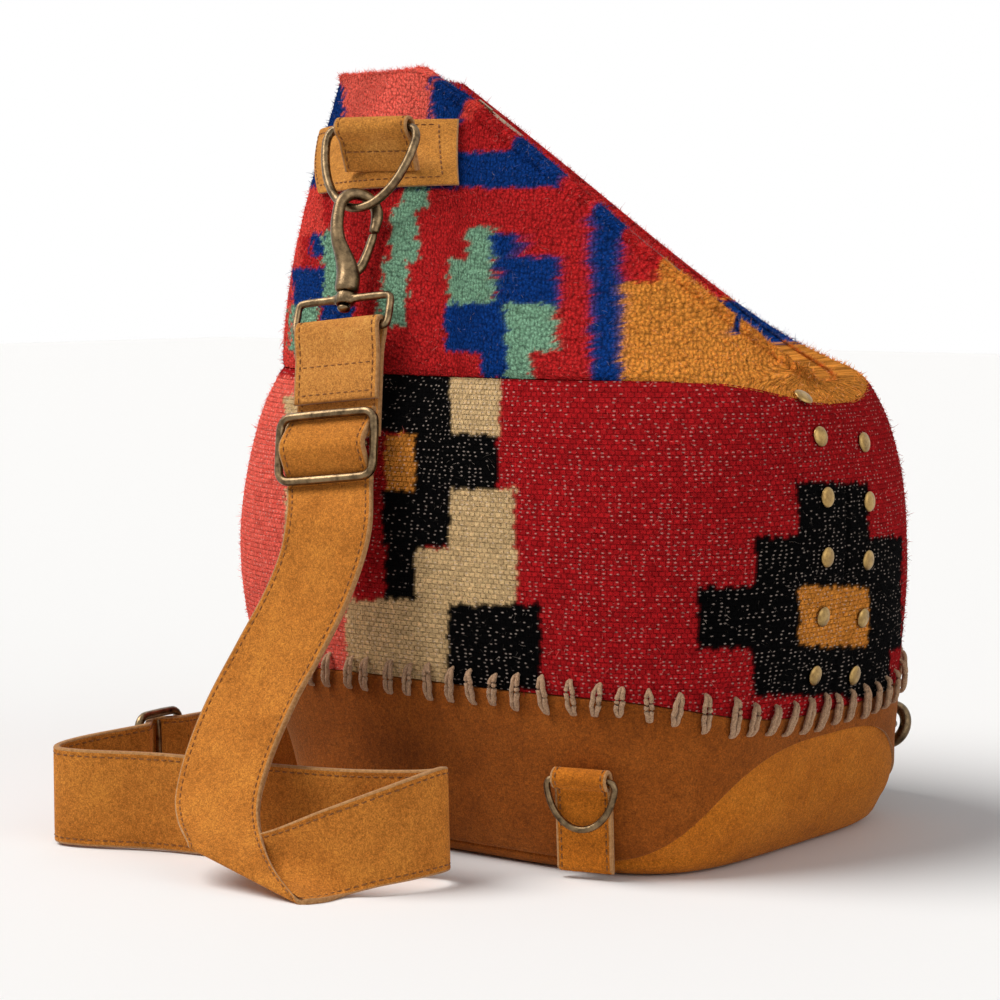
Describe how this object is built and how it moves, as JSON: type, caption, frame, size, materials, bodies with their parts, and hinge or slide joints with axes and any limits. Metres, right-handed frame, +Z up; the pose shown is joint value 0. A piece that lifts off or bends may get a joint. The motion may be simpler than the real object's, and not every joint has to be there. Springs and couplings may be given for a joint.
{
  "type": "shoulder bag",
  "caption": "Slouchy shoulder bag of patterned woven wool over a boxed suede foot, with a zipped sloping top, a wide suede strap on swivel hooks, and D rings.",
  "frame": {"origin": "centre of the flat foot, on the surface the bag stands on", "axes": "+Z up, +X from the tall end of the sloping top to its short end, -Y to the front, where the strap hangs"},
  "size_m": [0.3074, 0.3695, 0.3411],
  "materials": {
    "wool_red": "woven wool, lower panel",
    "wool_warm": "woven wool, upper panel",
    "suede": "suede, brown",
    "suede_light": "suede, lighter",
    "brass": "aged, satin",
    "zip_metal": "aged, satin",
    "zip_tape": "woven tape"
  },
  "bodies": {
    "bag": {"glide_low": "brass", "glide_low_bar": "brass", "glide_top": "brass", "glide_top_bar": "brass", "kilim_lower": "wool_red", "kilim_upper": "wool_warm", "loop_back": "suede_light", "loop_front": "suede_light", "loop_top": "suede_light", "patch": "suede_light", "rivet_back_1": "brass", "rivet_back_2": "brass", "rivet_back_3": "brass", "rivet_back_4": "brass", "rivet_back_5": "brass", "rivet_front_1": "brass", "rivet_front_2": "brass", "rivet_front_3": "brass", "rivet_front_4": "brass", "rivet_front_5": "brass", "rivet_top": "brass", "strap": "suede", "suede_bottom": "suede_light", "suede_skirt": "suede", "swivel_ring_back": "brass", "swivel_ring_top": "brass", "tab_back": "suede", "tab_top": "suede", "zip_half_back": "zip_tape", "zip_half_front": "zip_tape"},
    "d_ring_top": {"d_ring_top": "brass"},
    "d_ring_front": {"d_ring_front": "brass"},
    "d_ring_back": {"d_ring_back": "brass"},
    "hook_top": {"hook_top": "brass"},
    "hook_back": {"hook_back": "brass"},
    "gate_top": {"gate_top": "brass"},
    "gate_back": {"gate_back": "brass"},
    "zip_slider": {"zip_slider": "zip_metal"},
    "zip_pull": {"zip_pull": "zip_metal"}
  },
  "joints": [
    {"name": "large_ring_swing", "type": "hinge", "parent": "bag", "child": "d_ring_top", "pos_m": [-0.0725, -0.06501, 0.3125], "axis": [0.9816, 0.1908, 0], "range_deg": [-0.8, 0.8]},
    {"name": "front_ring_swing", "type": "hinge", "parent": "bag", "child": "d_ring_front", "pos_m": [0.076, -0.1107, 0.043], "axis": [0.9613, 0.2756, 0], "range_deg": [-85, 0]},
    {"name": "back_ring_swing", "type": "hinge", "parent": "bag", "child": "d_ring_back", "pos_m": [0.076, 0.1107, 0.043], "axis": [-0.9613, 0.2756, 0], "range_deg": [-1.5, 1.5]},
    {"name": "top_hook_swivel", "type": "hinge", "parent": "bag", "child": "hook_top", "pos_m": [-0.06793, -0.08066, 0.27603], "axis": [-0.1759, 0.4124, 0.8939], "range_deg": [0, 30]},
    {"name": "back_hook_swivel", "type": "hinge", "parent": "bag", "child": "hook_back", "pos_m": [0.08798, 0.12362, 0.03464], "axis": [0.9846, -0.1599, 0.07], "range_deg": [-8, 8]},
    {"name": "top_gate", "type": "hinge", "parent": "hook_top", "child": "gate_top", "pos_m": [-0.06006, -0.08819, 0.24951], "axis": [-0.8102, 0.4552, -0.3694], "range_deg": [-18, 0], "stiffness_Nm_per_rad": 0.02, "springref_deg": 8.59},
    {"name": "back_gate", "type": "hinge", "parent": "hook_back", "child": "gate_back", "pos_m": [0.06024, 0.12621, 0.02784], "axis": [0.1745, 0.915, -0.3638], "range_deg": [-18, 0], "stiffness_Nm_per_rad": 0.02, "springref_deg": 8.59},
    {"name": "zip_travel", "type": "slide", "parent": "bag", "child": "zip_slider", "axis": [0.8305, 0, -0.557], "range_m": [-0.02, 0.165]},
    {"name": "pull_swing", "type": "hinge", "parent": "zip_slider", "child": "zip_pull", "pos_m": [-0.06133, 0, 0.3229], "axis": [0, 1, 0], "range_deg": [-100, 0]}
  ]
}
